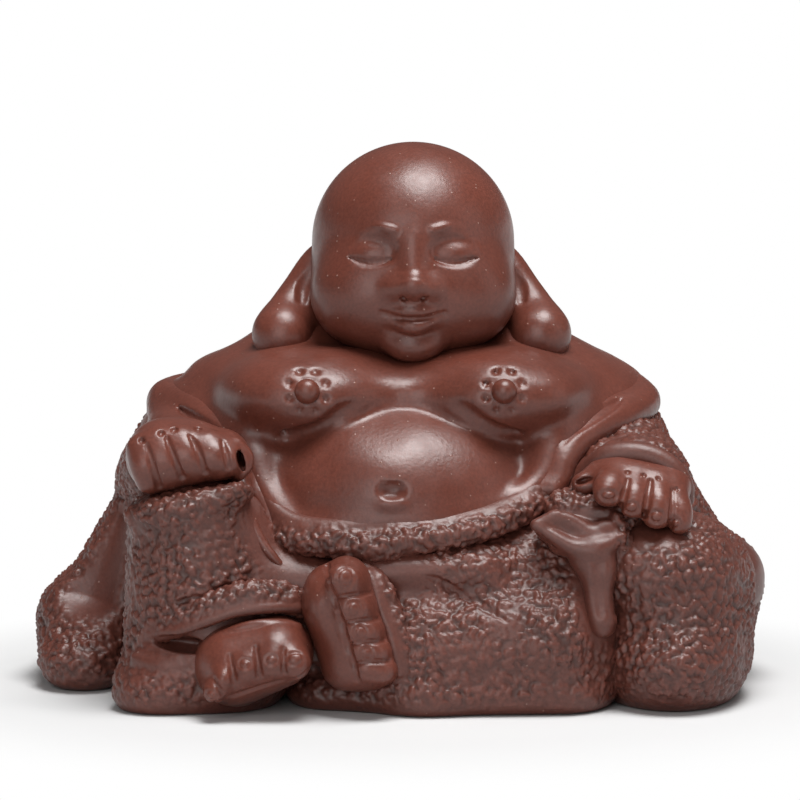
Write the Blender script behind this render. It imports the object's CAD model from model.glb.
import math

import bpy
import numpy as np
from mathutils import Euler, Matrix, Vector


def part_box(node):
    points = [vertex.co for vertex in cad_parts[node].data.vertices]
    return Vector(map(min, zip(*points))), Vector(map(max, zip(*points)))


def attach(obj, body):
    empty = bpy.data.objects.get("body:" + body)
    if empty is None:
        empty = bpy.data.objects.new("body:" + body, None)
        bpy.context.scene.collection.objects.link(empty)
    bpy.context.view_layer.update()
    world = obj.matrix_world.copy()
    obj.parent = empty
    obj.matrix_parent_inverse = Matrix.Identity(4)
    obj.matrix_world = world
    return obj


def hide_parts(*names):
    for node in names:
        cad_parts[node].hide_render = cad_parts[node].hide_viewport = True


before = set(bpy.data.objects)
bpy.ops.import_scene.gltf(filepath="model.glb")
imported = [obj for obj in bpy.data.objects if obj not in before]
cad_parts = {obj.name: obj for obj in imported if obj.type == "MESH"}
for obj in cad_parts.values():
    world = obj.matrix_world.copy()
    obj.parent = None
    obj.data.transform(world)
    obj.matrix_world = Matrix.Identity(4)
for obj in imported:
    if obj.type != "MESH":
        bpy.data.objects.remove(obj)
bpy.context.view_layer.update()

mm = 0.001  # the sculpting is in millimetres, the scene in metres


# clay toolkit: every shape is a function of points that gives a distance, negative inside the clay

def near(low, high, whole, reach=5.0):  # worked out only close to this box
    low, high = np.array(low, "f4") - reach, np.array(high, "f4") + reach

    def shape(p):
        out = np.full(len(p), reach, "f4")
        close = np.all((p > low) & (p < high), axis=1)
        if close.any():
            out[close] = np.minimum(whole(p[close]), reach)
        return out
    return shape


def halfOf(size):  # half sizes along x, y, z, from three sizes or from one
    return np.array(size, "f4") * np.ones(3, "f4") / 2


def eggDistance(q, half):  # a close guess, from points measured in half sizes
    leastSlope = 1e-4
    far = np.sqrt((q * q).sum(1))
    slope = np.sqrt(((q / half) ** 2).sum(1))
    return far * (far - 1) / np.maximum(slope, leastSlope)


def pressed(d, depth, t):  # pushed in by the depth where t is 1, easing off to nothing at 0
    return d + depth * t * t * (3 - 2 * t)


def ball(at, size, turn=(0, 0, 0)):
    at, half = np.array(at, "f4"), halfOf(size)
    turned = np.array(Euler([math.radians(a) for a in turn]).to_matrix(), "f4")
    reach = half.max()

    def shape(p):
        return eggDistance((p - at) @ turned / half, half)
    return near(at - reach, at + reach, shape)


def loaf(a, sizeA, b, sizeB):  # an egg that runs from one ball to another
    a, b = np.array(a, "f4"), np.array(b, "f4")
    halfA, halfB = halfOf(sizeA), halfOf(sizeB)
    run = b - a

    def shape(p):
        t = np.clip((p - a) @ run / (run @ run), 0, 1)[:, None]
        half = halfA + (halfB - halfA) * t
        return eggDistance((p - a - run * t) / half, half)
    return near(np.minimum(a - halfA, b - halfB), np.maximum(a + halfA, b + halfB), shape)


def lumps(parts):  # a loaf for each part with two places, a ball for the others
    return [loaf(*part) if len(part) > 3 else ball(*part) for part in parts.values()]


def smoothRun(points, steps=4):  # a smooth line through points, with any further columns
    knots = np.array(points, "f4")
    ends = np.vstack([2 * knots[0] - knots[1], knots, 2 * knots[-1] - knots[-2]])
    t = np.linspace(0, 1, steps, endpoint=False, dtype="f4")[:, None]
    runs = []
    for a, b, c, d in zip(ends, ends[1:], ends[2:], ends[3:]):
        bend, twist = 2 * a - 5 * b + 4 * c - d, 3 * b - a - 3 * c + d
        runs.append(0.5 * (2 * b + (c - a) * t + bend * t**2 + twist * t**3))
    return np.vstack([*runs, knots[-1:]])


def roll(points):  # a rolled strip along points of x, y, z, radius
    path = smoothRun(points) if len(points) > 2 else np.array(points, "f4")
    fat = path[:, 3].max()
    farOff, leastRun = 1e3, 1e-6

    def shape(p):
        d = np.full(len(p), farOff, "f4")
        for a, b in zip(path, path[1:]):
            run = b[:3] - a[:3]
            t = np.clip((p - a[:3]) @ run / max(run @ run, leastRun), 0, 1)
            off = p - a[:3] - t[:, None] * run
            d = np.minimum(d, np.sqrt((off * off).sum(1)) - a[3] - (b[3] - a[3]) * t)
        return d
    return near(path[:, :3].min(0) - fat, path[:, :3].max(0) + fat, shape)


def wider(path, more):  # the same strip with a larger radius, or a smaller one
    return [(x, y, z, r + more) for x, y, z, r in path]


def under(z):  # everything below this height, to cut with
    return lambda p: p[:, 2] - z


def behind(y):  # everything behind this plane, to cut with
    return lambda p: y - p[:, 1]


def joined(soft, *shapes):  # pressed together, with a fillet about this wide
    def shape(p):
        d = shapes[0](p)
        for other in shapes[1:]:
            e = other(p)
            h = np.clip(0.5 + 0.5 * (e - d) / soft, 0, 1)
            d = e * (1 - h) + d * h - soft * h * (1 - h)
        return d
    return shape


def cutBy(soft, body, *tools):  # cut away, with an edge rounded about this much
    def shape(p):
        d = body(p)
        for tool in tools:
            e = -tool(p)
            h = np.clip(0.5 - 0.5 * (e - d) / soft, 0, 1)
            d = e * (1 - h) + d * h + soft * h * (1 - h)
        return d
    return shape


def marked(body, depth, *lines):  # lines of x, y, z, width, pressed in, or raised by a negative depth
    rolls = [(roll(line), np.mean([point[3] for point in line])) for line in lines]

    def shape(p):
        d = body(p)
        for line, width in rolls:
            t = np.clip(-line(p) / width, 0, 1)
            d = pressed(d, depth, t)
        return d
    return shape


def dented(body, depth, *spots):  # spots of place and size, pressed in, or raised by a negative depth
    def shape(p):
        d = body(p)
        for at, size in spots:
            q = (p - np.array(at, "f4")) / halfOf(size)
            t = np.clip(1 - (q * q).sum(1), 0, 1)
            d = pressed(d, depth, t)
        return d
    return shape


def onto(shape, points):  # marks of x, z and more, laid on the side that faces front
    frontMost, backMost, gap = -42, 12, 0.1
    points = np.array(points, "f4")
    depth = np.arange(frontMost, backMost, gap, dtype="f4")
    rays = np.empty((len(points), len(depth), 3), "f4")
    rays[..., 0], rays[..., 1], rays[..., 2] = points[:, :1], depth, points[:, 1:2]
    hit = shape(rays.reshape(-1, 3)).reshape(len(points), -1) < 0
    return [(x, y, z, *more) for (x, z, *more), y in zip(points, depth[hit.argmax(1)])]


def drawn(shape, depth, *lines):  # lines of x, z, width pressed into the front
    return marked(shape, depth, *[onto(shape, smoothRun(line)) for line in lines])


def ring(x, z, wide, high, width=0.34, count=9):  # a closed line, for a nail or a nipple
    turns = np.linspace(0, 2 * math.pi, count)
    return [(x + wide * math.cos(a), z + high * math.sin(a), width) for a in turns]


def handmade(body, height, size, seed):  # slow unevenness, as fingers leave it
    count, usualPeak = 7, 3  # waves that cross, and how high they usually add up
    rng = np.random.default_rng(seed)
    waves = rng.normal(size=(count, 3)).astype("f4")
    waves *= 2 * math.pi / size / np.linalg.norm(waves, axis=1, keepdims=True)
    phase = rng.uniform(0, 2 * math.pi, count).astype("f4")
    return lambda p: body(p) + height / usualPeak * np.sin(p @ waves.T + phase).sum(1)


def sampled(shape, low, counts, step):  # the distance on a fine grid, worked out only near the surface
    block, wellClear, reach, batch = 4, 9, 6, 4000  # cells, a value clear of zero, cells, blocks
    blocks = -(-counts // block)
    index = np.stack(np.meshgrid(*[np.arange(n) for n in blocks], indexing="ij"), -1).reshape(-1, 3)
    d = shape((low + (index * block + block / 2 - 0.5) * step).astype("f4"))
    field = np.where(d < 0, -wellClear, wellClear).astype("f4").reshape(blocks)
    for axis in range(3):
        field = field.repeat(block, axis)
    close = index[np.abs(d) < reach * step]
    inner = np.stack(np.meshgrid(*[np.arange(block)] * 3, indexing="ij"), -1).reshape(-1, 3)
    for part in np.array_split(close, max(1, len(close) // batch)):
        cells = (part[:, None] * block + inner).reshape(-1, 3)
        field[tuple(cells.T)] = shape((low + cells * step).astype("f4"))
    return field


def skinned(field, low, step):  # a closed quad skin where the distance crosses zero
    inside = field < 0
    size = np.array(field.shape) - 1
    corners = np.array([(i, j, k) for i in (0, 1) for j in (0, 1) for k in (0, 1)])
    filled = sum(inside[i:i + size[0], j:j + size[1], k:k + size[2]].astype("i1") for i, j, k in corners)
    cells = np.argwhere((filled > 0) & (filled < 8))
    number = np.full(size, -1, "i4")
    number[tuple(cells.T)] = np.arange(len(cells))
    value = np.stack([field[tuple((cells + c).T)] for c in corners], 1)
    place, hits = np.zeros((len(cells), 3)), np.zeros(len(cells))
    for a in range(8):
        for b in range(a + 1, 8):
            if np.abs(corners[a] - corners[b]).sum() != 1:
                continue
            cross = (value[:, a] < 0) != (value[:, b] < 0)
            t = np.where(cross, value[:, a] / np.where(cross, value[:, a] - value[:, b], 1), 0)
            place += cross[:, None] * (corners[a] + (corners[b] - corners[a]) * t[:, None])
            hits += cross
    verts = low + (cells + place / hits[:, None]) * step
    quads = []
    for axis in range(3):
        u, v = np.eye(3, dtype=int)[[(axis + 1) % 3, (axis + 2) % 3]]
        ends = [slice(0, n) for n in size]
        ends[(axis + 1) % 3] = slice(1, size[(axis + 1) % 3])
        ends[(axis + 2) % 3] = slice(1, size[(axis + 2) % 3])
        further = list(ends)
        further[axis] = slice(1, size[axis] + 1)
        here, there = inside[tuple(ends)], inside[tuple(further)]
        edges = np.argwhere(here != there) + u + v
        around = [number[tuple((edges - off).T)] for off in (0 * u, u, u + v, v)]
        quad = np.stack(around, 1)
        outward = inside[tuple(edges.T)]
        quad[~outward] = quad[~outward][:, ::-1]
        quads.append(quad)
    return verts, np.vstack(quads)


def sculpt(name, shape, step, *nodes):  # a piece in the place of its nodes
    margin, footEdge, stepsBelow = 4, 0.3, 2
    boxes = [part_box(node) for node in nodes]
    low = np.array([min(b[0][i] for b in boxes) for i in range(3)]) / mm - margin
    high = np.array([max(b[1][i] for b in boxes) for i in range(3)]) / mm + margin
    low[2] = max(low[2], -step * stepsBelow)
    counts = np.ceil((high - low) / step).astype(int)
    onTable = cutBy(footEdge, shape, under(0))
    verts, quads = skinned(sampled(onTable, low, counts, step), low, step)
    mesh = bpy.data.meshes.new(name)
    mesh.from_pydata(verts * mm, [], quads)
    mesh.shade_smooth()
    piece = bpy.data.objects.new(name, mesh)
    bpy.context.scene.collection.objects.link(piece)
    piece["nodes"] = list(nodes)
    print("sculpted", name, len(verts))
    return piece


def roughOn(piece, smoothShapes, fade):  # how strongly the stipple shows, by distance from smooth places
    footClear, footFade = 0.2, 2.6
    p = np.empty(len(piece.data.vertices) * 3, "f4")
    piece.data.vertices.foreach_get("co", p)
    p = p.reshape(-1, 3) / mm
    amount = np.clip((p[:, 2] - footClear) / footFade, 0, 1)  # none under the foot
    for shape in smoothShapes:
        amount = np.minimum(amount, np.clip(shape(p) / fade, 0, 1))
    layer = piece.data.attributes.new("rough", "FLOAT", "POINT")
    layer.data.foreach_set("value", amount)


# head

headLook = {
    "step": 0.25, "middle": (1.7, 0.8, 57.1), "size": (26.2, 27.4, 25.6),
    "eyeLine": 56.0, "eyeApart": 5.2, "noseDrop": 5.0, "mouthDrop": 8.0,
}


def headShape():
    x, y, z = headLook["middle"]
    eye, apart = headLook["eyeLine"], headLook["eyeApart"]
    noseZ, mouthZ = eye - headLook["noseDrop"], eye - headLook["mouthDrop"]
    skull = ball((x, y, z), headLook["size"])
    jaw = ball((x, y - 3.4, z - 7.0), (25.8, 21.6, 16.4))
    neck = roll([(x, 2, 48, 8.6), (x, 3, 39, 8.6)])
    cheeks = [ball((x + s * 6.4, -7.4, eye - 5.8), (11, 9.4, 10)) for s in (-1, 1)]
    head = joined(4, skull, jaw, *cheeks, neck)
    sockets = [((x + s * apart, -12.2, eye + 0.4), (8.4, 5, 5.0)) for s in (-1, 1)]
    head = dented(head, 0.8, *sockets)
    lids = [ball((x + s * apart, -9.9, eye - 0.2), (6.4, 4.6, 4.0), (0, 0, s * 16)) for s in (-1, 1)]
    bridge = roll([(x, -12.0, eye + 1.8, 0.9), (x, -13.2, eye - 2.2, 1.3), (x, -13.9, noseZ + 1.1, 1.9)])
    wings = [ball((x + s * 2.1, -12.8, noseZ + 0.7), (3.0, 3.4, 2.6)) for s in (-1, 1)]
    nose = joined(1.4, bridge, *wings)
    upperLip = [
        (x - 3.6, -12.2, mouthZ + 0.5, 0.4), (x - 1.1, -13.6, mouthZ + 0.8, 0.85),
        (x + 1.1, -13.6, mouthZ + 0.8, 0.85), (x + 3.6, -12.2, mouthZ + 0.5, 0.4),
    ]
    lowerLip = [
        (x - 3.0, -12.4, mouthZ - 0.55, 0.4), (x, -13.5, mouthZ - 1.1, 1.05),
        (x + 3.0, -12.4, mouthZ - 0.55, 0.4),
    ]
    chin = ball((x, -10.4, mouthZ - 3.6), (7.4, 5.8, 4.6))
    head = joined(1.0, head, *lids)
    head = joined(1.8, head, nose, chin)
    head = joined(0.8, head, roll(upperLip), roll(lowerLip))
    brow = ((2.4, -12.6, 3.0, 0.9), (5.4, -12.4, 3.7, 1.1), (9.0, -10.4, 2.2, 0.7))
    brows = [[(x + s * out, y, eye + up, w) for out, y, up, w in brow] for s in (-1, 1)]
    lidLine = ((2.4, -12.2, 0.7, 0.45), (5.2, -12.5, 1.1, 0.5), (8.0, -10.8, 0.6, 0.45))
    lidLines = [[(x + s * out, y, eye - down, w) for out, y, down, w in lidLine] for s in (-1, 1)]
    head = marked(head, -0.4, *brows)
    mouthLine = ((-4, 0.6), (-2, 0.1), (0, -0.1), (2, 0.1), (4, 0.6))
    mouth = onto(head, [(x + out, mouthZ + up) for out, up in mouthLine])
    head = marked(marked(head, 0.4, *lidLines), 0.4, [(*spot[:3], 0.6) for spot in mouth])
    nostrils = [((x + s * 1.2, -14.0, noseZ - 0.4), (1.5, 1.8, 1.2)) for s in (-1, 1)]
    return dented(head, 0.5, *nostrils)


earLook = {"step": 0.25, "middle": 1.5, "lobe": (16.6, -3.4, 45.0), "lobeSize": (7.8, 7.6, 7.6)}


def earShape(side):
    x = earLook["middle"]

    def at(out, y, z, *more):
        return (x + side * out, y, z, *more)
    lobe = ball(at(*earLook["lobe"]), earLook["lobeSize"])
    shell = roll([
        at(11.8, 2.4, 55.2, 1.5), at(13.0, 1.8, 53.6, 1.9), at(14.6, 0.8, 50.6, 2.3),
        at(16.4, -1.2, 47.6, 2.6), at(16.8, -2.4, 46, 2.8),
    ])
    web = roll([at(11.4, 2.2, 54.4, 1.5), at(12.4, 1.4, 50.6, 2.2), at(13.6, 0.0, 47.0, 2.8)])
    ear = joined(2.0, shell, lobe, web)
    ear = marked(
        ear, 0.9, [at(12.6, -1.0, 54.0, 0.8), at(13.9, -1.6, 51.6, 1.2), at(14.2, -2.6, 49.6, 0.9)],
    )
    return marked(
        ear, -0.35, [at(12.0, -0.6, 52.6, 0.6), at(12.8, -1.0, 50.4, 0.7), at(13.4, -2.4, 48.6, 0.6)],
    )


# torso

torsoLook = {
    "step": 0.41, "belly": ((0, -5, 25.2), (41.6, 42, 27)), "back": ((0, 8, 27), (54, 38, 38)),
    "seat": ((0, 3, 7), (60, 46, 28)), "upperBack": ((1.0, 9.5, 37.4), (46, 29, 13)),
    "chest": ((0.6, -4, 37.8), (30, 24, 10.6)), "breastAt": (12.2, -8.4, 37.8),
    "breastSize": (22, 22, 11.0), "cutUnder": 8, "cutBehind": 23.4,
    "crease": [
        (-20.6, -10, 35.6, 0.6), (-16.5, -14.5, 34.5, 1.1), (-12, -17.5, 34.3, 1.3),
        (-8.6, -18.8, 35.9, 1.4), (-6.8, -19.2, 36.8, 1.4), (0, -19.2, 38.4, 1.2), (6.8, -19.2, 37.2, 1.4),
        (9.4, -18.8, 36.2, 1.4), (13, -17.5, 34.6, 1.3), (17.6, -14.5, 34.6, 1.1),
    ],
    "creaseDepth": 0.8, "navel": (-1.0, 27.4), "nippleX": (-11.6, 13.0), "nippleZ": 39.2, "nippleSize": 3.2,
    "nippleStep": 0.15, "dots": 8, "dotRing": 2.45, "dotSize": (1.1, 2.2, 1.1), "dotDepth": 0.9,
    "ringSize": 1.6, "ringDepth": 0.3, "uneven": 0.12, "unevenSize": 9, "seed": 1,
}


def torsoShape():
    look = torsoLook
    parts = [ball(*look[name]) for name in ("back", "seat", "upperBack", "chest")]
    for s in (-1, 1):
        out, y, z = look["breastAt"]
        breast = ((s * out + 0.6, y, z), look["breastSize"])
        shoulder = ((s * 24.8 + 1.2, 4.5, 36.8), (9.2, 18, 9.2))
        slope = loaf(*shoulder, (s * 13.8 + 1.3, 4, 43.2), (14, 18, 9.4))
        parts += [ball(*breast), slope, loaf(*breast, *shoulder)]
    trunk = joined(3.0, *parts)
    trunk = joined(1.2, trunk, ball(*look["belly"]))
    for s in (-1, 1):
        flank = loaf((s * 19.2 + 0.4, -12.6, 33.0), (6, 6, 5), (s * 17.8 + 0.4, -15.4, 29.6), (5, 5, 6))
        trunk = joined(3.0, trunk, flank, roll(wider(lapelLook["edge"][s], -0.5)))
    bed = [(x, y + 0.4, z - 0.1, max(r - 0.4, 0.2)) for x, y, z, r in waistbandLook["lip"]]
    trunk = joined(2.6, trunk, roll(bed))
    trunk = marked(trunk, look["creaseDepth"], look["crease"])
    ridge = [(x, y - 1.0, z - 1.6, 1.2) for x, y, z, _ in look["crease"][3:8]]
    trunk = marked(trunk, -0.25, ridge)
    x, z = look["navel"]
    trunk = dented(trunk, 1.1, *[(spot[:3], (4.2, 4, 2.8)) for spot in onto(trunk, [(x, z)])])
    trunk = dented(trunk, -0.35, *[(spot[:3], (5, 4, 1.9)) for spot in onto(trunk, [(x, z - 1.7)])])
    return cutBy(0.5, trunk, under(look["cutUnder"]), behind(look["cutBehind"]))


def nipplePoints(torso):
    return onto(torso, [(x, torsoLook["nippleZ"]) for x in torsoLook["nippleX"]])


def punchedTorso(torso):  # a ring of punched dots and a fine line around each nipple
    look, z = torsoLook, torsoLook["nippleZ"]
    spots = []
    for x in look["nippleX"]:
        for i in range(look["dots"]):
            a = 2 * math.pi * (i + 0.5) / look["dots"]
            spots.append((x + look["dotRing"] * math.cos(a), z + look["dotRing"] * math.sin(a)))
    torso = dented(torso, look["dotDepth"], *[(spot, look["dotSize"]) for spot in onto(torso, spots)])
    rings = [ring(x, z, look["ringSize"], look["ringSize"]) for x in look["nippleX"]]
    return drawn(torso, look["ringDepth"], *rings)


# robe

waistbandLook = {
    "step": 0.22, "fillet": 1.2,
    "band": [
        (-15.8, -20.0, 22.8, 1.3), (-13.8, -22.8, 21.1, 1.7), (-8, -25.2, 20.8, 1.9),
        (-3.4, -26.2, 20.3, 2.0), (0, -26.4, 21.0, 1.8), (8, -25.4, 22.1, 1.7), (14, -22.6, 23.8, 1.7),
        (18.6, -19.0, 25.9, 1.5),
    ],
    "lip": [
        (-18.9, -16.6, 30.6, 0.6), (-18.0, -17.9, 28.6, 0.9), (-16.9, -19.4, 26.4, 1.1),
        (-15.6, -20.8, 24.6, 1.2), (-14.2, -22.0, 23.5, 1.25), (-12.2, -23.0, 22.8, 1.3),
        (-9.4, -24.0, 22.6, 1.3), (-6, -24.6, 22.7, 1.3), (0, -25.0, 22.9, 1.3), (8, -24.0, 23.6, 1.3),
        (12.6, -22.0, 24.8, 1.3), (15.6, -20.4, 26.2, 1.2), (17.4, -19.0, 27.8, 1.0),
        (18.6, -17.4, 29.6, 0.7), (19.2, -16.4, 31.0, 0.4),
    ],
}


def waistbandShape():
    return joined(waistbandLook["fillet"], roll(waistbandLook["band"]), roll(waistbandLook["lip"]))


lapelLook = {
    "step": 0.3, "foldDepth": 0.45, "foldWidths": (0.7, 1.2, 1.4, 1.0, 0.3),
    "nape": ((0.4, 24.6, 36.8, 2.6), (12, 22.6, 37.0, 2.6), (20.6, 16.8, 37.4, 2.6), (26.8, 11, 36.8, 2.6)),
    "edge": {
        -1: [
            (-30.2, 4.6, 36.4, 2.4), (-27.0, -3.0, 35.6, 2.3), (-23.8, -8.6, 34.4, 2.2),
            (-21.4, -12.8, 32.8, 1.9), (-19.6, -15.4, 31.0, 1.6), (-18.4, -17.4, 28.4, 1.2),
            (-17.0, -19.2, 26.2, 1.0), (-15.7, -20.6, 24.6, 0.9),
        ],
        1: [
            (29.8, 4.6, 37.0, 2.6), (29.0, -1.6, 36.0, 2.2), (26.0, -7.6, 35.4, 2.0),
            (23.2, -11.6, 34.4, 1.8), (21.0, -14.2, 33.0, 1.7), (19.6, -16.0, 31.4, 1.5),
            (18.8, -17.4, 29.2, 1.3), (17.6, -18.8, 27.5, 1.1), (15.6, -20.4, 26.0, 1.0),
        ],
    },
    "flap": {
        -1: [
            (-30.8, 4, 35.2, 2.0), (-31.0, 0, 33.8, 1.9), (-29.8, -6, 33.0, 2.4), (-26.8, -11.6, 32.4, 2.6),
            (-23.6, -15.4, 31.2, 2.2), (-21.4, -18.0, 29.8, 1.7), (-20.0, -20.2, 28.0, 1.1),
            (-18.8, -23.5, 24.4, 0.7), (-17.2, -24.8, 21.0, 0.7), (-15.6, -25.4, 19.0, 0.6),
            (-14.2, -25.2, 17.4, 0.4),
        ],
        1: [
            (30.6, 4, 36.4, 2.2), (31.6, -1, 36.2, 2.2), (28.6, -7.6, 34.8, 2.0), (25.2, -12.0, 33.6, 1.8),
            (22.6, -15.0, 32.2, 1.6), (21.0, -17.4, 30.4, 1.4), (20.3, -18.8, 28.2, 1.2),
            (19.4, -19.8, 26.9, 1.0),
        ],
    },
    "valley": [
        (-20.2, -15.8, 29.8, 1.5), (-18.8, -17.6, 28.0, 1.3), (-17.4, -19.4, 25.6, 1.3),
        (-16.2, -21.0, 23.2, 1.2), (-15.2, -22.0, 21.2, 1.0),
    ],
}


def lapelShape(side):
    edge, flap = lapelLook["edge"][side], lapelLook["flap"][side]
    nape = [(side * x, y, z, r) for x, y, z, r in lapelLook["nape"]]
    lapel = joined(2.5, roll(nape + edge), roll(flap))
    fold = []
    for a, b, width in zip(edge[1:6], flap[1:6], lapelLook["foldWidths"]):
        fold.append(((a[0] + b[0]) / 2, (a[1] + b[1]) / 2 - 1.4, (a[2] + b[2]) / 2 + 1.2, width))
    lapel = marked(lapel, lapelLook["foldDepth"], fold)
    return joined(0.8, lapel, roll(lapelLook["valley"])) if side < 0 else lapel


sleeveLook = {
    "step": 0.24, "rightWrist": ((-28.2, -12, 28.6), (12.2, 12, 9)),
    "leftWrist": ((29.9, -14.6, 28.2), (11.8, 11, 8.4)),
    "innerRoll": [(25.2, -15, 29.6, 2.2), (22.4, -18.0, 26.6, 2.0), (21.8, -19.0, 24.6, 1.6)],
    "cuffRim": [
        (22.8, -17.4, 28.6, 0.9), (24.0, -18.6, 29.6, 1.2), (25.6, -19.5, 30.9, 1.5),
        (28.0, -20.0, 31.4, 1.6), (30.6, -20.2, 31.2, 1.6), (32.8, -20.5, 30.4, 1.5),
        (34.4, -20.8, 29.1, 1.4), (35.6, -20.8, 27.4, 1.1), (36.0, -20.2, 25.6, 0.8),
    ],
    "rightSmooth": ((-28.6, -6, 36), (15, 30, 9)),
}


def sleeveShape(side):
    wrist = sleeveLook["rightWrist" if side < 0 else "leftWrist"]
    shoulder = ((side * 26.6 + 0.4, 4.5, 33.0), (12.5, 18, 11.2))
    elbow = ((side * 30.3 - 0.2, 3, 25.4), (12, 18, 13.6))
    arm = joined(3, loaf(*shoulder, *wrist), loaf(*elbow, *wrist), loaf(*shoulder, *elbow))
    if side < 0:
        return arm
    arm = joined(2.5, arm, roll(sleeveLook["innerRoll"]))
    return joined(1.2, arm, roll(sleeveLook["cuffRim"]))


drapeLook = {
    "step": 0.25, "fillet": 2.5,
    "right": {
        "hang": ((-32.8, 4, 24), (7.4, 20, 10), (-39.4, 3, 5.6), (15.0, 26, 13)),
        "hem": ((-40.6, -5.4, 3.4), (12.2, 17.4, 9.2), (-38, 12, 5), (16, 20, 13)),
        "back": ((-38, 9, 6), (16, 22, 15), (-31, 17, 7), (18, 18, 18)),
        "swell": ((-41.0, 1, 8.6), (12.2, 17, 10.4)),
    },
    "left": {
        "hang": ((34.6, 6, 23.8), (8.6, 20, 9.6), (39.6, 6, 9.2), (14.4, 28, 20)),
        "swell": ((41.05, 1, 13.2), (13.2, 19, 11.6)),
        "back": ((38, 6, 7), (15.6, 26, 16), (31, 17, 7), (18, 18, 18)),
    },
    "lining": ((-36.4, -9, 22.0), (3.4, 13, 5), (-40.6, -10.4, 12.5), (10.8, 14, 6.8)), "liningEdge": 2.2,
    "leftSmooth": ((46, -3, 14.6), (7, 12, 8.4)),
}


def rightDrapeShape():
    cloth = joined(drapeLook["fillet"], *lumps(drapeLook["right"]))
    return cutBy(drapeLook["liningEdge"], cloth, loaf(*drapeLook["lining"]))


def leftDrapeShape():
    return joined(drapeLook["fillet"], *lumps(drapeLook["left"]))


robeBackLook = {
    "step": 0.42, "shoulders": ((0, 8.5, 26.5), (60, 44.5, 37)),
    "skirt": ((0, 11, 8), (72, 40, 26), (0, 9.5, 24), (62, 42, 30)), "top": 36.4, "front": 6.0,
}


def robeBackShape():
    look = robeBackLook
    robe = joined(2.5, ball(*look["shoulders"]), loaf(*look["skirt"]))
    return cutBy(0.6, robe, lambda p: look["top"] - p[:, 2], lambda p: p[:, 1] - look["front"])


# legs

rightLegLook = {
    "step": 0.21, "fillet": 2.5,
    "parts": {
        "shin": ((-25.4, -19.5, 23.0), (17.4, 18, 11), (-24.2, -20.5, 5), (21.2, 20.4, 16)),
        "thigh": ((-25, -16, 20.5), (16, 15, 13), (-16, -4, 9), (20, 20, 16)),
        "calf": ((-20, -18, 16), (18, 17, 18), (-10.5, -19, 9), (10, 14, 16)),
        "hemSwell": ((-29.6, -23.6, 2.4), (12.6, 14, 9), (-24, -20.6, 3.0), (17, 18, 9)),
        "lap": ((-15.4, -20.8, 15.8), (8, 11, 7), (-10.4, -21.4, 15.4), (8, 11, 8)),
    },
    "kneeRim": [
        (-33, -24.0, 24.2, 1.2), (-29, -26.6, 24.8, 1.6), (-25, -27.0, 25.9, 1.6), (-21, -26.2, 26.9, 1.5),
        (-19.4, -24.8, 27.1, 1.2),
    ],
    "hollow": [
        (-31.8, -27.6, 8.9, 0.3), (-29.4, -29.0, 9.2, 0.6), (-26.0, -30.0, 9.6, 0.75),
        (-23.0, -30.9, 10.6, 0.55), (-20.0, -31.4, 11.8, 0.4), (-16.0, -31.4, 12.4, 0.4),
        (-12.2, -30.4, 12.3, 0.4),
    ],
    "pocket": ((-27.0, -29.6, 8.8), (8.6, 6, 2.0), (0, 6, 0)),
    "hem": [
        (-32.6, -27.2, 6.8, 0.7), (-29.6, -28.8, 6.2, 0.9), (-26.6, -29.2, 6.4, 0.9),
        (-25.4, -29.2, 7.2, 0.7),
    ],
    "fold": [(-29.6, 13.2, 0.5), (-26.9, 14.1, 0.6), (-22.9, 15.3, 0.7), (-18.9, 16.3, 0.5)],
    "foldDepth": 0.5, "cutBehind": -4,
    "smooth": [
        ((-13, -25, 17), (8, 8, 6.6)), ((-8, -26, 18.4), (10, 10, 4.6)), ((-21.4, -30, 11.4), (7, 6, 4)),
    ],
}


def rightLegShape():
    look = rightLegLook
    leg = joined(look["fillet"], *lumps(look["parts"]))
    leg = joined(2.0, leg, roll(look["kneeRim"]))
    leg = joined(0.8, leg, roll(look["hem"]))
    leg = drawn(leg, look["foldDepth"], look["fold"])
    return cutBy(0.5, leg, roll(look["hollow"]), ball(*look["pocket"]), behind(look["cutBehind"]))


rightCuffLook = {
    "step": 0.22,
    "rim": [
        (-31.6, -25.2, 9.0, 1.2), (-28.6, -27.6, 10.6, 1.6), (-25, -28.8, 12.2, 1.9),
        (-21, -29.2, 14.1, 2.0), (-17, -29.0, 14.8, 2.0), (-13.6, -27.8, 14.2, 1.9),
        (-11.2, -26.2, 12.6, 1.6),
    ],
    "ridge": [
        (-29.5, -28.4, 9.7, 0.5), (-27.1, -29.8, 10.5, 0.65), (-23.6, -30.6, 11.8, 0.7),
        (-20.2, -30.9, 13.0, 0.7), (-16, -30.6, 13.5, 0.7), (-12.5, -29.2, 13.3, 0.5),
    ],
}


def rightCuffShape():
    cuff = joined(0.6, roll(rightCuffLook["rim"]), roll(rightCuffLook["ridge"]))
    return cutBy(0.4, cuff, roll(rightLegLook["hollow"]))


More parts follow.
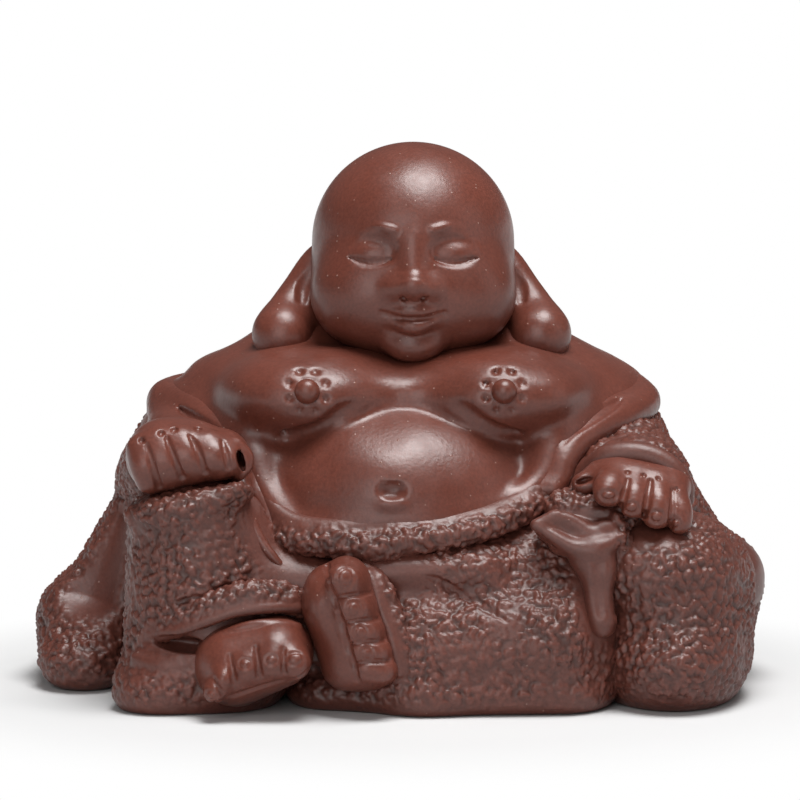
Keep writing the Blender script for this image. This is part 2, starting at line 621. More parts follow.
leftLegLook = {
    "step": 0.21, "fillet": 2.5,
    "parts": {
        "shin": ((1.5, -20.5, 7), (14, 22.4, 19), (19, -19.5, 8), (14, 23.6, 20)),
        "thigh": ((14, -14, 14), (22, 18, 17), (12, -2, 9), (20, 20, 16)),
        "lap": ((-1, -18, 12), (14, 15, 13), (16, -17, 15), (18, 18, 17)),
        "knee": ((20.6, -17, 11.5), (14.6, 20, 22)),
        "nearFoot": ((-8, -19, 2.0), (13, 17, 8), (3, -19.4, 2.2), (15, 24.4, 9)),
        "alongFloor": ((3, -19.4, 2.2), (15, 24.4, 9), (20, -18.6, 2.2), (15, 23.8, 9)),
        "shinTop": ((-2, -22.4, 17.2), (9, 11.5, 6.4), (9, -22, 17.6), (11, 12.5, 7)),
        "kneeFront": ((24.4, -21, 15), (7, 10, 11), (23.8, -21.5, 6.5), (8.4, 11.5, 10)),
    },
    "crease": [
        (3.4, 17.0, 0.4), (4.9, 16.4, 0.7), (7.3, 14.9, 0.8), (9.8, 13.7, 0.7), (11.6, 12.7, 0.6),
        (13.2, 11.7, 0.3),
    ],
    "creaseDepth": 0.8, "creaseFront": -31, "cutBehind": -9, "smooth": [((-0.8, -27, 17.4), (8, 10, 4.0))],
}


def leftLegShape():
    look = leftLegLook
    leg = joined(look["fillet"], *lumps(look["parts"]))
    return cutBy(0.5, drawn(leg, look["creaseDepth"], look["crease"]), behind(look["cutBehind"]))


leftCuffLook = {
    "step": 0.22,
    "rim": [
        (-4.4, -27.0, 18.0, 1.0), (-2.8, -28.2, 16.2, 1.5), (-1.6, -28.9, 13.0, 1.9),
        (-0.3, -29.8, 9.2, 2.1), (0.4, -29.6, 5, 2.0), (0.6, -28.4, 2.4, 1.6),
    ],
    "line": [
        (-3.9, -29.0, 17.6, 0.4), (-3.0, -30.0, 15.4, 0.55), (-2.2, -30.8, 13.0, 0.65),
        (-1.3, -31.3, 10.8, 0.7), (-0.6, -31.8, 8.4, 0.7), (-0.1, -31.8, 5.6, 0.4),
    ],
}


def leftCuffShape():
    return joined(0.7, roll(leftCuffLook["rim"]), roll(leftCuffLook["line"]))


# feet and hands

rightFootLook = {
    "step": 0.2,
    "toes": (
        (-12.8, 7.2, 3.9, 4.2), (-15.6, 7.2, 3.0, 3.6), (-18.7, 6.6, 3.0, 3.6), (-21.5, 5.3, 2.8, 3.2),
        (-22.6, 3.7, 2.9, 2.9),
    ),
    "rim": [
        (-24.2, -30.0, 8.4, 0.4), (-22.2, -30.9, 9.8, 0.6), (-19.2, -31.3, 11.2, 0.65),
        (-15.9, -31.3, 11.6, 0.65), (-12.5, -30.2, 11.1, 0.5),
    ],
    "gaps": [
        [(-20.7, 8.2, 0.5), (-20.2, 5.2, 0.6)], [(-17.5, 9.2, 0.5), (-17.1, 5.9, 0.6)],
        [(-14.2, 9.0, 0.45), (-14.1, 6.4, 0.5)], [(-22.6, 5.4, 0.4), (-21.6, 3.8, 0.45)],
    ],
    "sole": [
        (-23.4, 2.2, 0.5), (-20.0, 3.3, 0.55), (-16.0, 4.6, 0.55), (-12.6, 5.5, 0.5), (-11.2, 6.4, 0.4),
    ],
    "nails": [
        (-12.7, 8.0, 1.0, 0.75), (-23.0, 3.5, 0.65, 0.6), (-18.8, 7.4, 0.7, 0.55), (-15.6, 7.9, 0.7, 0.55),
    ],
}


def rightFootShape():
    look = rightFootLook
    foot = loaf((-20.2, -28.4, 6.2), (10.6, 13.6, 10.4), (-15.2, -28.8, 7.8), (9.2, 13.6, 9.0))
    toes = [ball((x, -33.8, z), (wide, 4.8, high)) for x, z, wide, high in look["toes"]]
    foot = joined(1.0, foot, *toes)
    foot = joined(0.5, foot, roll(look["rim"]))
    foot = drawn(foot, 0.55, *look["gaps"])
    foot = drawn(foot, 0.45, look["sole"])
    return drawn(foot, 0.28, *[ring(*nail) for nail in look["nails"]])


leftFootLook = {
    "step": 0.2,
    "toes": (
        (-6.9, 17.4, 1.8, 0.6), (-5.8, 13.8, 1.7, 0.8), (-5.0, 11.0, 1.6, 1.2), (-4.3, 8.5, 1.5, 1.6),
        (-3.7, 6.2, 1.4, 1.8),
    ),
    "groove": [
        (-9.1, 19.0, 0.5), (-8.7, 17.3, 0.6), (-8.1, 15.2, 0.65), (-7.2, 12.4, 0.7), (-6.5, 9.8, 0.7),
        (-5.8, 7.4, 0.7), (-5.2, 5.0, 0.6),
    ],
    "gaps": ((-7.9, 15.3), (-7.0, 12.2), (-6.2, 9.6), (-5.6, 7.2)),
    "nails": [
        (-6.6, 17.8, 1.0, 1.1), (-5.6, 14.0, 0.8, 0.85), (-4.8, 11.1, 0.75, 0.75), (-4.0, 8.5, 0.7, 0.7),
    ],
}


def leftFootShape():
    look = leftFootLook
    side = loaf((-6.6, -28.4, 15.6), (6.6, 12.2, 8.0), (-4.4, -28.2, 6.4), (9.6, 12.0, 7))
    sole = loaf((-9.6, -27.8, 13.6), (5.2, 10.4, 9.2), (-6.8, -27.8, 6.2), (5.8, 10, 6.2))
    toes = []
    for x, z, r, far in look["toes"]:
        tip = (x - 0.3, -33.5, z + 0.1, r)
        toes.append(roll([tip, (x + far, -32.9, z - 0.2, r), (x + far + 0.4, -29.5, z - 0.4, r)]))
    foot = joined(0.9, joined(1.5, side, sole), *toes)
    gaps = [[(x, z, 0.35), (x + 2.2, z + 0.3, 0.5), (x + 4.4, z + 0.2, 0.4)] for x, z in look["gaps"]]
    foot = drawn(foot, 0.8, look["groove"])
    foot = drawn(foot, 0.4, *gaps)
    return drawn(foot, 0.3, *[ring(*nail) for nail in look["nails"]])


rightHandLook = {
    "step": 0.18, "setBack": 1.3,
    "fingers": (
        (-32.2, -31.0, 32.4, 28.2, 1.7), (-29.8, -28.3, 33.0, 29.0, 1.8), (-27.1, -25.4, 33.2, 29.8, 1.8),
        (-23.8, -22.5, 32.8, 30.2, 1.8), (-21.2, -20.4, 31.8, 30.2, 1.2),
    ),
    "grooves": [
        [(-31.3, 33.2, 0.4), (-30.7, 31.4, 0.6), (-29.7, 27.9, 0.6)],
        [(-28.8, 34.0, 0.4), (-28.1, 32.2, 0.6), (-26.9, 29.2, 0.6)],
        [(-25.9, 34.2, 0.4), (-25.0, 32.6, 0.65), (-24.0, 29.8, 0.6)],
        [(-21.9, 33.6, 0.4), (-21.6, 32.6, 0.6), (-21.1, 30.4, 0.55)],
    ],
    "dots": [(-31.9, 33.6), (-29.5, 34.5), (-27.9, 34.9), (-25.0, 34.9)], "dotSize": (1.0, 1.6, 0.9),
    "curl": [
        (-20.2, -24.8, 33.0, 0.7), (-18.9, -24.8, 31.6, 0.7), (-18.9, -25.0, 30.2, 0.7),
        (-19.8, -25.4, 29.2, 0.7),
    ],
    "curlGap": ((-19.7, -25.4, 31.0), (0.9, 9, 2.8), (0, -14, 0)),
}


def rightHandShape():
    look = rightHandLook
    fist = loaf((-29.4, -22.0, 31.1), (9.6, 12.2, 9.6), (-22.6, -22.2, 31.4), (7.6, 11.6, 6.6))
    fist = joined(1.5, fist, ball((-27, -21.6, 32.4), (9, 10, 6.6)))
    wrist = loaf((-28, -18, 31), (10, 8, 8), (-29, -9, 29.4), (9, 8, 8))
    fingers = []
    for top, low, topZ, lowZ, r in look["fingers"]:
        knuckle = ((top + low) / 2, -26.5, (topZ + lowZ) / 2, r)
        fingers.append(roll([(top, -25.4, topZ, r), knuckle, (low, -26.0, lowZ + 0.4, r)]))
    hand = joined(1.2, joined(2, fist, wrist), *fingers)
    hand = drawn(hand, 0.75, *look["grooves"])
    hand = dented(hand, 0.8, *[(spot, look["dotSize"]) for spot in onto(hand, look["dots"])])
    hand = joined(0.6, hand, roll(look["curl"]))
    return cutBy(0.2, hand, ball(*look["curlGap"]))


def setBack(shape, far):
    return lambda p: shape(p - np.array((0, far, 0)))


leftHandLook = {
    "step": 0.17, "thumb": [(25.6, -20.0, 28.6, 1.7), (22.9, -21.8, 27.8, 1.5)],
    "thumbNail": ((22.8, -23.4, 28.3), (2.4, 3, 0.8), (0, -18, 0)),
    "fingers": (
        ((26.9, -22.4, 28.4, 1.9), (26.0, -24.8, 27.7, 2.1), (25.6, -25.8, 27.2, 1.8)),
        ((29.4, -22.8, 28.4, 1.8), (28.9, -25.2, 26.8, 1.9), (28.7, -26.2, 25.8, 1.7)),
        ((31.8, -23.0, 27.8, 1.8), (31.8, -25.4, 25.8, 1.95), (31.7, -26.1, 24.5, 1.8)),
        ((34.0, -22.6, 26.8, 1.7), (34.5, -24.6, 24.8, 1.75), (34.6, -25.3, 23.5, 1.55)),
    ),
    "grooves": [
        [(28.2, 28.8, 0.4), (27.6, 26.9, 0.65), (27.1, 24.8, 0.6)],
        [(31.0, 28.6, 0.4), (30.5, 26.4, 0.65), (30.1, 23.6, 0.6)],
        [(33.7, 27.4, 0.4), (33.5, 25.1, 0.6), (33.3, 22.6, 0.55)],
    ],
    "nails": [
        (25.7, 27.0, 1.0, 0.6), (28.5, 25.5, 0.85, 0.7), (31.6, 24.4, 0.85, 0.75), (34.0, 23.4, 0.6, 0.6),
    ],
    "dots": [(28.2, 29.6), (30.2, 29.2), (32.0, 28.8), (34.2, 27.5)], "dotSize": 0.75,
}


def leftHandShape():
    look = leftHandLook
    palm = loaf((27.4, -20.0, 28.6), (8.6, 8.4, 5.4), (32.8, -20.0, 27.4), (7.6, 8.4, 6))
    wrist = loaf((31, -16, 28), (10, 8, 6.6), (32.5, -9, 27), (9, 8, 7))
    fingers = [roll(path) for path in (*look["fingers"], look["thumb"])]
    hand = joined(1.2, joined(2, palm, wrist), *fingers)
    hand = drawn(hand, 0.8, *look["grooves"])
    hand = cutBy(0.3, hand, ball(*look["thumbNail"]))
    hand = drawn(hand, 0.5, *[ring(*nail) for nail in look["nails"]])
    return dented(hand, 0.45, *[(spot, look["dotSize"]) for spot in onto(hand, look["dots"])])


# sack

sackLook = {
    "step": 0.23, "low": ((34.0, -10, 6.0), (21.8, 43, 20)),
    "high": ((34.4, -9.4, 14.2), (21.8, 35.6, 17.6)), "swell": ((31.4, -19.4, 17.6), (16, 17.5, 10.8)),
    "fillet": 6, "arc": [(29.2, 10.9, 0.35), (30.4, 9.9, 0.45), (32.6, 9.7, 0.45), (34.8, 10.8, 0.35)],
    "arcDepth": 0.3, "smooth": ((31, -25.4, 22), (8, 5, 2.4)),
}


def sackShape():
    look = sackLook
    sack = joined(look["fillet"], loaf(*look["low"], *look["high"]), ball(*look["swell"]))
    return drawn(sack, look["arcDepth"], look["arc"])


sackNeckLook = {
    "step": 0.2, "gathers": ((19.2, -24.4, 22.5), (5, 4.8, 3.6), (25.4, -24.6, 21.5), (4.4, 4.8, 3.6)),
    "throat": ((22.6, -25.6, 20.2), (8.0, 4.6, 2.6), (24.4, -26.6, 17.6), (4.4, 4.2, 4)),
    "filler": ((21.8, -21.2, 24.8), (8, 6.6, 5), (26.6, -21.4, 23.8), (8, 7, 5)),
    "rim": [
        (16.8, -26.8, 23.2, 0.5), (18.9, -27.3, 21.9, 0.75), (21.3, -27.7, 20.6, 0.85),
        (23.4, -27.8, 20.3, 0.85), (25.5, -27.6, 20.9, 0.8), (27.0, -26.8, 21.6, 0.6),
    ],
    "back": [
        (16.8, -26.6, 23.3, 0.5), (18.3, -26.4, 24.0, 0.75), (19.5, -26.2, 24.2, 0.9),
        (21.3, -26.2, 23.6, 0.9), (22.5, -26.4, 22.9, 0.8), (23.2, -26.5, 22.5, 0.7),
        (24.3, -26.4, 22.5, 0.75), (25.5, -26.2, 23.0, 0.85), (26.6, -26.2, 22.4, 0.7),
        (27.1, -26.4, 21.6, 0.6),
    ],
    "strip": [
        (24.2, -26.4, 19.8, 2.3), (24.4, -26.7, 18.0, 2.0), (24.5, -27.0, 15.6, 1.85),
        (24.6, -27.1, 13.2, 1.8), (24.9, -27.2, 11.6, 1.85), (25.0, -27.1, 11.0, 1.75),
    ],
    "stripLine": [(24.4, 18.6, 1.3), (24.4, 15, 1.2), (24.7, 12.4, 0.9)],
    "seam": [
        (26.9, -25.4, 24.0, 0.8), (27.8, -25.8, 21.2, 0.9), (27.7, -26.0, 18.6, 0.8),
        (27.4, -26.0, 16.2, 0.6),
    ],
    "smoothTo": (26.2, 24.6),
}


def sackNeckShape():
    look = sackNeckLook
    body = joined(1.5, loaf(*look["gathers"]), loaf(*look["throat"]), roll(look["strip"]))
    neck = joined(1.1, body, loaf(*look["filler"]), roll(look["rim"]), roll(look["back"]))
    neck = drawn(neck, 0.35, look["stripLine"])
    return joined(0.7, neck, roll(look["seam"]))


# helpers for node trees

def feed(tree, socket, value):  # a link from another node, or a plain value
    if hasattr(value, "is_output"):
        tree.links.new(value, socket)
    else:
        socket.default_value = value


def maths(tree, operation, a, b):
    made = tree.nodes.new("ShaderNodeMath")
    made.operation = operation
    feed(tree, made.inputs[0], a)
    feed(tree, made.inputs[1], b)
    return made.outputs[0]


def span(tree, value, source, target, curve="LINEAR"):  # one range of values brought to another
    made = tree.nodes.new("ShaderNodeMapRange")
    made.interpolation_type = curve
    feed(tree, made.inputs["Value"], value)
    for label, number in zip(("From Min", "From Max", "To Min", "To Max"), (*source, *target)):
        made.inputs[label].default_value = number
    return made.outputs["Result"]


def noise(tree, place, scale, detail):
    made = tree.nodes.new("ShaderNodeTexNoise")
    feed(tree, made.inputs["Vector"], place)
    feed(tree, made.inputs["Scale"], scale)
    made.inputs["Detail"].default_value = detail
    return made


# stippled cloth, by Geometry Nodes

# bump sizes are in millimetres and the warp in metres; the ranges are of texture values
stippleLook = {
    "bumpSize": 0.8, "bumpHeight": 0.55, "seed": 3.0, "warpScale": 0.7, "warp": 0.0009, "domeShare": 0.35,
    "domeRange": (0.36, 0.64), "domeRoughness": 0.4, "gritShare": 0.65, "gritScale": 0.86,
    "gritRange": (0.26, 0.72), "wornScale": 150, "wornRange": (0.34, 0.56), "wornLeast": 0.45, "level": 0.5,
    "fade": 1.0, "legFade": 2.2,
}


def stippleTree():
    look = stippleLook
    tree = bpy.data.node_groups.new("stippledCloth", "GeometryNodeTree")
    face = tree.interface
    face.new_socket("Geometry", in_out="INPUT", socket_type="NodeSocketGeometry")
    sockets = {}
    for label in ("Bump Size", "Bump Height", "Seed"):
        sockets[label] = face.new_socket(label, in_out="INPUT", socket_type="NodeSocketFloat").identifier
    made = face.new_socket("Material", in_out="INPUT", socket_type="NodeSocketMaterial")
    sockets["Material"] = made.identifier
    face.new_socket("Geometry", in_out="OUTPUT", socket_type="NodeSocketGeometry")
    add, link = tree.nodes.new, tree.links.new
    start, end = add("NodeGroupInput"), add("NodeGroupOutput")
    place = add("GeometryNodeInputPosition").outputs[0]
    scale = maths(tree, "DIVIDE", 1.0, maths(tree, "MULTIPLY", start.outputs["Bump Size"], mm))

    warp = noise(tree, place, maths(tree, "MULTIPLY", scale, look["warpScale"]), detail=1)
    warp.noise_dimensions = "4D"
    link(start.outputs["Seed"], warp.inputs["W"])
    shift = add("ShaderNodeVectorMath")
    shift.operation = "MULTIPLY_ADD"
    link(warp.outputs["Color"], shift.inputs[0])
    shift.inputs[1].default_value = [look["warp"]] * 3
    link(place, shift.inputs[2])

    pebbles = noise(tree, shift.outputs[0], scale, detail=1)
    pebbles.inputs["Roughness"].default_value = look["domeRoughness"]
    dome = span(tree, pebbles.outputs["Fac"], look["domeRange"], (0, 1), "SMOOTHSTEP")
    cells = add("ShaderNodeTexVoronoi")
    link(shift.outputs[0], cells.inputs["Vector"])
    link(maths(tree, "MULTIPLY", scale, look["gritScale"]), cells.inputs["Scale"])
    grit = span(tree, cells.outputs["Distance"], look["gritRange"], (1, 0), "SMOOTHSTEP")
    dome = maths(tree, "MULTIPLY", dome, look["domeShare"])
    grit = maths(tree, "MULTIPLY", grit, look["gritShare"])
    bump = maths(tree, "SUBTRACT", maths(tree, "ADD", dome, grit), look["level"])

    worn = noise(tree, place, look["wornScale"], detail=2)
    patchy = span(tree, worn.outputs["Fac"], look["wornRange"], (look["wornLeast"], 1), "SMOOTHSTEP")
    rough = add("GeometryNodeInputNamedAttribute")
    rough.data_type = "FLOAT"
    rough.inputs["Name"].default_value = "rough"
    strength = maths(tree, "MULTIPLY", rough.outputs["Attribute"], patchy)
    raised = maths(tree, "MULTIPLY", bump, strength)

    offset = add("ShaderNodeVectorMath")
    offset.operation = "SCALE"
    link(add("GeometryNodeInputNormal").outputs[0], offset.inputs[0])
    height = maths(tree, "MULTIPLY", start.outputs["Bump Height"], mm)
    link(maths(tree, "MULTIPLY", raised, height), offset.inputs["Scale"])
    keep = add("GeometryNodeStoreNamedAttribute")
    keep.data_type, keep.domain = "FLOAT", "POINT"
    keep.inputs["Name"].default_value = "stipple"
    link(raised, keep.inputs["Value"])
    move = add("GeometryNodeSetPosition")
    link(offset.outputs[0], move.inputs["Offset"])
    real, clad = add("GeometryNodeRealizeInstances"), add("GeometryNodeSetMaterial")
    link(start.outputs["Material"], clad.inputs["Material"])
    chain = (start, keep, move, real, clad, end)
    for one, following in zip(chain, chain[1:]):
        link(one.outputs["Geometry"], following.inputs["Geometry"])
    return tree, sockets


def stippled(piece, tree, sockets, material):
    made = piece.modifiers.new("stipple", "NODES")
    made.node_group = tree
    made[sockets["Bump Size"]] = stippleLook["bumpSize"]
    made[sockets["Bump Height"]] = stippleLook["bumpHeight"]
    made[sockets["Seed"]] = stippleLook["seed"]
    made[sockets["Material"]] = material
    graph = bpy.context.evaluated_depsgraph_get()
    mesh = bpy.data.meshes.new_from_object(piece.evaluated_get(graph))
    piece.modifiers.remove(made)
    piece.data = mesh


# clay materials

grainLook = {
    "midRange": (0.3, 0.7), "cloudScale": 90, "cloudRange": (0.88, 1.12), "fineScale": 2600,
    "fineRange": (0.86, 1.14), "speckScale": 900, "speckEdge": (0.05, 0.13), "speckChosen": (0.68, 0.72),
    "speckColour": (0.42, 0.26, 0.21, 1), "speckAmount": 0.6, "speckHeight": 0.6,
    "pitColour": (0.03, 0.011, 0.008, 1), "pitAmount": 0.6, "polishScale": 400,
    "polishRange": (-0.05, 0.06), "grainScale": 1800, "grainHeight": 0.5,
}


def grainGroup():
    look = grainLook
    group = bpy.data.node_groups.new("firedClay", "ShaderNodeTree")
    for way, labels in (("INPUT", ("Body", "Pit", "Polish")), ("OUTPUT", ("Color", "Roughness", "Height"))):
        for label in labels:
            kind = "NodeSocketColor" if label in ("Body", "Color") else "NodeSocketFloat"
            group.interface.new_socket(label, in_out=way, socket_type=kind)
    add, link = group.nodes.new, group.links.new
    start, end = add("NodeGroupInput"), add("NodeGroupOutput")
    place = add("ShaderNodeTexCoord").outputs["Object"]

    def grainNoise(scale, detail):
        return noise(group, place, scale, detail).outputs["Fac"]

    def mixed(amount, a, b, blend="MIX"):
        made = add("ShaderNodeMix")
        made.data_type, made.blend_type = "RGBA", blend
        for socket, value in ((made.inputs[0], amount), (made.inputs[6], a), (made.inputs[7], b)):
            feed(group, socket, value)
        return made.outputs[2]

    cloudy = span(group, grainNoise(look["cloudScale"], detail=3), look["midRange"], look["cloudRange"])
    fine = span(group, grainNoise(look["fineScale"], detail=2), look["midRange"], look["fineRange"])
    colour = mixed(1.0, start.outputs["Body"], maths(group, "MULTIPLY", cloudy, fine), "MULTIPLY")
    grains = add("ShaderNodeTexVoronoi")
    grains.inputs["Scale"].default_value = look["speckScale"]
    link(place, grains.inputs["Vector"])
    chosen = add("ShaderNodeSeparateColor")
    link(grains.outputs["Color"], chosen.inputs[0])
    dot = span(group, grains.outputs["Distance"], look["speckEdge"], (1, 0))
    speck = maths(group, "MULTIPLY", dot, span(group, chosen.outputs[0], look["speckChosen"], (0, 1)))
    colour = mixed(maths(group, "MULTIPLY", speck, look["speckAmount"]), colour, look["speckColour"])
    pit = maths(group, "MULTIPLY", start.outputs["Pit"], look["pitAmount"])
    link(mixed(pit, colour, look["pitColour"]), end.inputs["Color"])
    polish = span(group, grainNoise(look["polishScale"], detail=2), look["midRange"], look["polishRange"])
    link(maths(group, "ADD", start.outputs["Polish"], polish), end.inputs["Roughness"])
    grain = maths(group, "MULTIPLY", grainNoise(look["grainScale"], detail=3), look["grainHeight"])
    lump = maths(group, "MULTIPLY", speck, look["speckHeight"])
    link(maths(group, "ADD", grain, lump), end.inputs["Height"])
    return group


skinLook = {"colour": (0.122, 0.033, 0.021, 1), "roughness": 0.36, "grain": 0.6}
clothLook = {"colour": (0.116, 0.034, 0.023, 1), "roughness": 0.42, "grain": 0.8, "pits": (0.1, -0.4)}
slabLook = {"colour": (0.11, 0.036, 0.026, 1), "roughness": 0.7, "grain": 0.6}


def clayMaterial(name, group, look):
    grainDepth, shine = 0.0001, 0.5
    material = bpy.data.materials.new(name)
    material.use_nodes = True
    tree = material.node_tree
    nodes, link = tree.nodes, tree.links.new
    shader = nodes["Principled BSDF"]
    clay = nodes.new("ShaderNodeGroup")
    clay.node_tree = group
    clay.inputs["Body"].default_value = look["colour"]
    clay.inputs["Polish"].default_value = look["roughness"]
    if "pits" in look:  # darker where the stipple lies low
        depth = nodes.new("ShaderNodeAttribute")
        depth.attribute_name = "stipple"
        link(span(tree, depth.outputs["Fac"], look["pits"], (0, 1)), clay.inputs["Pit"])
    bump = nodes.new("ShaderNodeBump")
    bump.inputs["Strength"].default_value = look["grain"]
    bump.inputs["Distance"].default_value = grainDepth
    shader.inputs["Specular IOR Level"].default_value = shine
    link(clay.outputs["Color"], shader.inputs["Base Color"])
    link(clay.outputs["Roughness"], shader.inputs["Roughness"])
    link(clay.outputs["Height"], bump.inputs["Height"])
    link(bump.outputs["Normal"], shader.inputs["Normal"])
    material.diffuse_color = look["colour"]
    return material


# the figure

def makeBare():  # pieces of smooth clay
    look = torsoLook
    torso = torsoShape()
    trunk = handmade(punchedTorso(torso), look["uneven"], look["unevenSize"], look["seed"])
    rightNipple, leftNipple = [ball(spot, look["nippleSize"]) for spot in nipplePoints(torso)]
    fist = setBack(rightHandShape(), rightHandLook["setBack"])
    return [
        sculpt("head", headShape(), headLook["step"], "head_front", "head_back"),
        sculpt("rightEar", earShape(-1), earLook["step"], "right_ear"),
        sculpt("leftEar", earShape(1), earLook["step"], "left_ear"),
        sculpt("torso", trunk, look["step"], "torso_front", "torso_back"),
        sculpt("rightNipple", rightNipple, look["nippleStep"], "right_nipple"),
        sculpt("leftNipple", leftNipple, look["nippleStep"], "left_nipple"),
        sculpt("rightHand", fist, rightHandLook["step"], "right_hand"),
        sculpt("leftHand", leftHandShape(), leftHandLook["step"], "left_hand"),
        sculpt("rightFoot", rightFootShape(), rightFootLook["step"], "right_foot"),
        sculpt("leftFoot", leftFootShape(), leftFootLook["step"], "left_foot"),
        sculpt("rightLapel", lapelShape(-1), lapelLook["step"], "right_lapel"),
        sculpt("leftLapel", lapelShape(1), lapelLook["step"], "left_lapel"),
    ]


def makeClothed():  # pieces of stippled clay, each with the places that stay smooth
    right, left, neck = rightLegLook, leftLegLook, sackNeckLook
    pastLapel, pastStrip, pastRim, creaseWidth, lineShift, lineWidth = 0.9, 0.4, 0.3, 0.3, 1.2, 1.9
    onBand = [roll(waistbandLook["lip"])]
    onRight = [ball(*spot) for spot in right["smooth"]]
    onRight += [roll(right["hollow"]), ball(*right["pocket"]), roll(right["hem"])]
    onRight.append(roll(wider(lapelLook["flap"][-1][6:], pastLapel)))
    onLeft = [ball(*spot) for spot in left["smooth"]]
    onLeft.append(roll(wider(neck["strip"], pastStrip)))
    onLeft.append(roll([(x, left["creaseFront"], z, creaseWidth) for x, z, _ in left["crease"]]))
    onRightCuff = [roll(right["hollow"]), roll(rightCuffLook["ridge"])]
    onLeftCuff = [roll([(x - lineShift, y, z, lineWidth) for x, y, z, _ in leftCuffLook["line"]])]
    onRightSleeve = [ball(*sleeveLook["rightSmooth"])]
    onLeftSleeve = [roll(wider(sleeveLook["cuffRim"], pastRim))]
    onRightDrape, onLeftDrape = [loaf(*drapeLook["lining"])], [ball(*drapeLook["leftSmooth"])]
    sideX, topZ = neck["smoothTo"]
    onNeck = [lambda p: np.maximum(p[:, 0] - sideX, p[:, 2] - topZ)]
    return [
        (sculpt("waistband", waistbandShape(), waistbandLook["step"], "waistband"), onBand),
        (sculpt("rightLeg", rightLegShape(), right["step"], "right_leg"), onRight),
        (sculpt("leftLeg", leftLegShape(), left["step"], "left_leg"), onLeft),
        (sculpt("rightCuff", rightCuffShape(), rightCuffLook["step"], "right_trouser_cuff"), onRightCuff),
        (sculpt("leftCuff", leftCuffShape(), leftCuffLook["step"], "left_trouser_cuff"), onLeftCuff),
        (sculpt("rightSleeve", sleeveShape(-1), sleeveLook["step"], "right_sleeve"), onRightSleeve),
        (sculpt("leftSleeve", sleeveShape(1), sleeveLook["step"], "left_sleeve"), onLeftSleeve),
        (sculpt("rightDrape", rightDrapeShape(), drapeLook["step"], "right_sleeve_drape"), onRightDrape),
        (sculpt("leftDrape", leftDrapeShape(), drapeLook["step"], "left_sleeve_drape"), onLeftDrape),
        (sculpt("robeBack", robeBackShape(), robeBackLook["step"], "robe_back"), []),
        (sculpt("sack", sackShape(), sackLook["step"], "sack"), [ball(*sackLook["smooth"])]),
        (sculpt("sackNeck", sackNeckShape(), neck["step"], "sack_neck"), onNeck),
    ]


def makeFigure():
    group = grainGroup()
    skin = clayMaterial("burnishedClay", group, skinLook)
    cloth = clayMaterial("stippledClay", group, clothLook)
    slab = clayMaterial("slabClay", group, slabLook)
    print("materials ready")

    bare = makeBare()
    for piece in bare:
        piece.data.materials.append(skin)
    clothed = makeClothed()
    tree, sockets = stippleTree()
    for piece, smoothShapes in clothed:
        fade = stippleLook["legFade"] if "Leg" in piece.name else stippleLook["fade"]
        roughOn(piece, smoothShapes, fade)
        stippled(piece, tree, sockets, cloth)
    print("cloth stippled")

    for piece in bare + [piece for piece, _ in clothed]:
        nodes = list(piece["nodes"])
        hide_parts(*nodes)
        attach(piece, "root")
    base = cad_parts["base_slab"]
    base.data.materials.clear()
    base.data.materials.append(slab)


# studio

studioLook = {
    "eye": (0, -0.4981, 0.0800), "aim": (0, 0, 0.0364), "lens": 173.07, "sensor": 36, "nearest": 0.01,
    "lampAim": (0, 0, 0.03), "ambient": 0.12,
}
# place, size and power of each lamp
lampLook = {
    "key": ((0.09, -0.1, 0.63), 0.34, 5.6), "front": ((-0.2, -0.8, 0.34), 0.6, 2.6),
    "side": ((0.7, -0.2, 0.3), 0.4, 0.4),
}
floorLook = {
    "radius": 3, "wall": 0.35, "sides": 48, "drop": 0.00005, "colour": (0.62, 0.62, 0.62, 1),
    "roughness": 0.9, "shine": 0.2, "whiteFrom": (0.048, 0.078),
}


def lookAt(item, target):
    item.rotation_mode = "QUATERNION"
    item.rotation_quaternion = (Vector(target) - item.location).to_track_quat("-Z", "Y")


def seenShare(tree, share):  # this share where the camera looks, directly or in a reflection, else 0
    rays = tree.nodes.new("ShaderNodeLightPath")
    seen = rays.outputs["Is Camera Ray"]
    for other in ("Is Glossy Ray", "Is Transmission Ray"):
        seen = maths(tree, "MAXIMUM", seen, rays.outputs[other])
    return maths(tree, "MULTIPLY", seen, share)


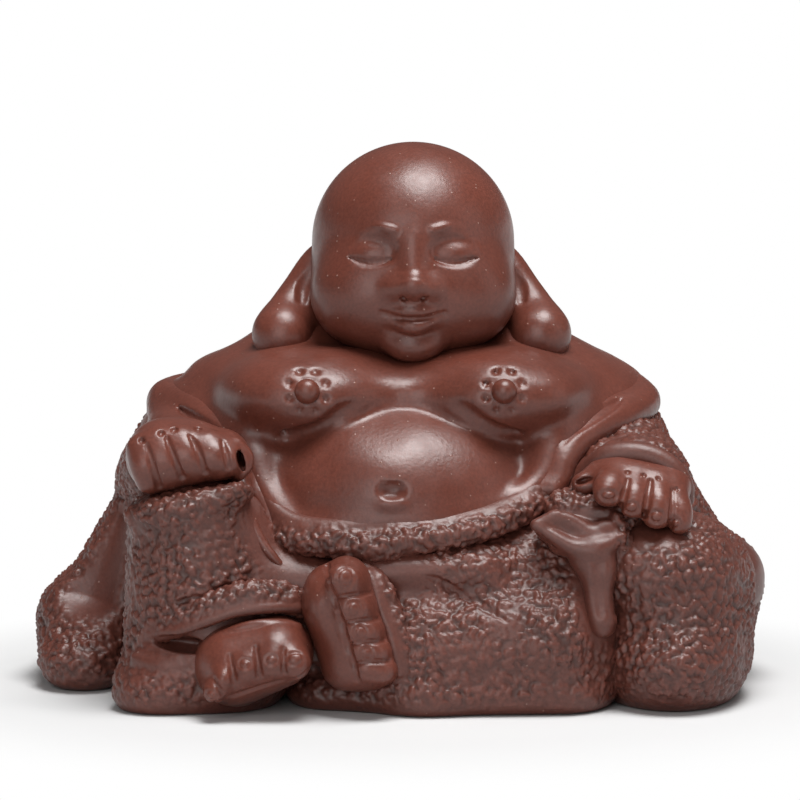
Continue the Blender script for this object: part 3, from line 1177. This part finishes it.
def floorPaper():  # pale near the figure, where it keeps the shadow, and plain white further out
    look = floorLook
    paper = bpy.data.materials.new("paleFloor")
    paper.use_nodes = True
    tree = paper.node_tree
    nodes, link = tree.nodes, tree.links.new
    shader = nodes["Principled BSDF"]
    shader.inputs["Base Color"].default_value = look["colour"]
    shader.inputs["Roughness"].default_value = look["roughness"]
    shader.inputs["Specular IOR Level"].default_value = look["shine"]
    reach = nodes.new("ShaderNodeVectorMath")
    reach.operation = "LENGTH"
    link(nodes.new("ShaderNodeTexCoord").outputs["Object"], reach.inputs[0])
    far = span(tree, reach.outputs["Value"], look["whiteFrom"], (0, 1), "SMOOTHSTEP")
    glow, mix = nodes.new("ShaderNodeEmission"), nodes.new("ShaderNodeMixShader")
    link(seenShare(tree, far), mix.inputs[0])
    link(shader.outputs[0], mix.inputs[1])
    link(glow.outputs[0], mix.inputs[2])
    link(mix.outputs[0], nodes["Material Output"].inputs["Surface"])
    return paper


def layFloor():  # a round floor with a low wall
    radius, sides = floorLook["radius"], floorLook["sides"]
    turns = [2 * math.pi * i / sides for i in range(sides)]
    rims = [(radius * math.cos(a), radius * math.sin(a), z) for z in (0, floorLook["wall"]) for a in turns]
    wall = [(i, sides + i, sides + (i + 1) % sides, (i + 1) % sides) for i in range(sides)]
    mesh = bpy.data.meshes.new("floor")
    mesh.from_pydata(rims, [], [tuple(range(sides)), *wall])
    mesh.materials.append(floorPaper())
    floor = bpy.data.objects.new("floor", mesh)
    bpy.context.scene.collection.objects.link(floor)
    floor.location.z = -floorLook["drop"]


def studio():
    scene = bpy.context.scene
    scene.view_settings.view_transform = "Standard"
    camera = bpy.data.objects.new("camera", bpy.data.cameras.new("camera"))
    scene.collection.objects.link(camera)
    camera.location = studioLook["eye"]
    camera.data.lens = studioLook["lens"]
    camera.data.sensor_width = studioLook["sensor"]
    camera.data.clip_start = studioLook["nearest"]
    lookAt(camera, studioLook["aim"])
    scene.camera = camera

    for name, (place, size, power) in lampLook.items():
        light = bpy.data.lights.new(name, "AREA")
        light.size, light.energy = size, power
        lamp = bpy.data.objects.new(name, light)
        scene.collection.objects.link(lamp)
        lamp.location = place
        lookAt(lamp, studioLook["lampAim"])

    world = bpy.data.worlds.new("studio")
    scene.world = world
    world.use_nodes = True
    ambient = world.node_tree.nodes["Background"]
    ambient.inputs["Color"].default_value = (1, 1, 1, 1)
    ambient.inputs["Strength"].default_value = studioLook["ambient"]
    layFloor()
    print("studio ready")


makeFigure()
studio()
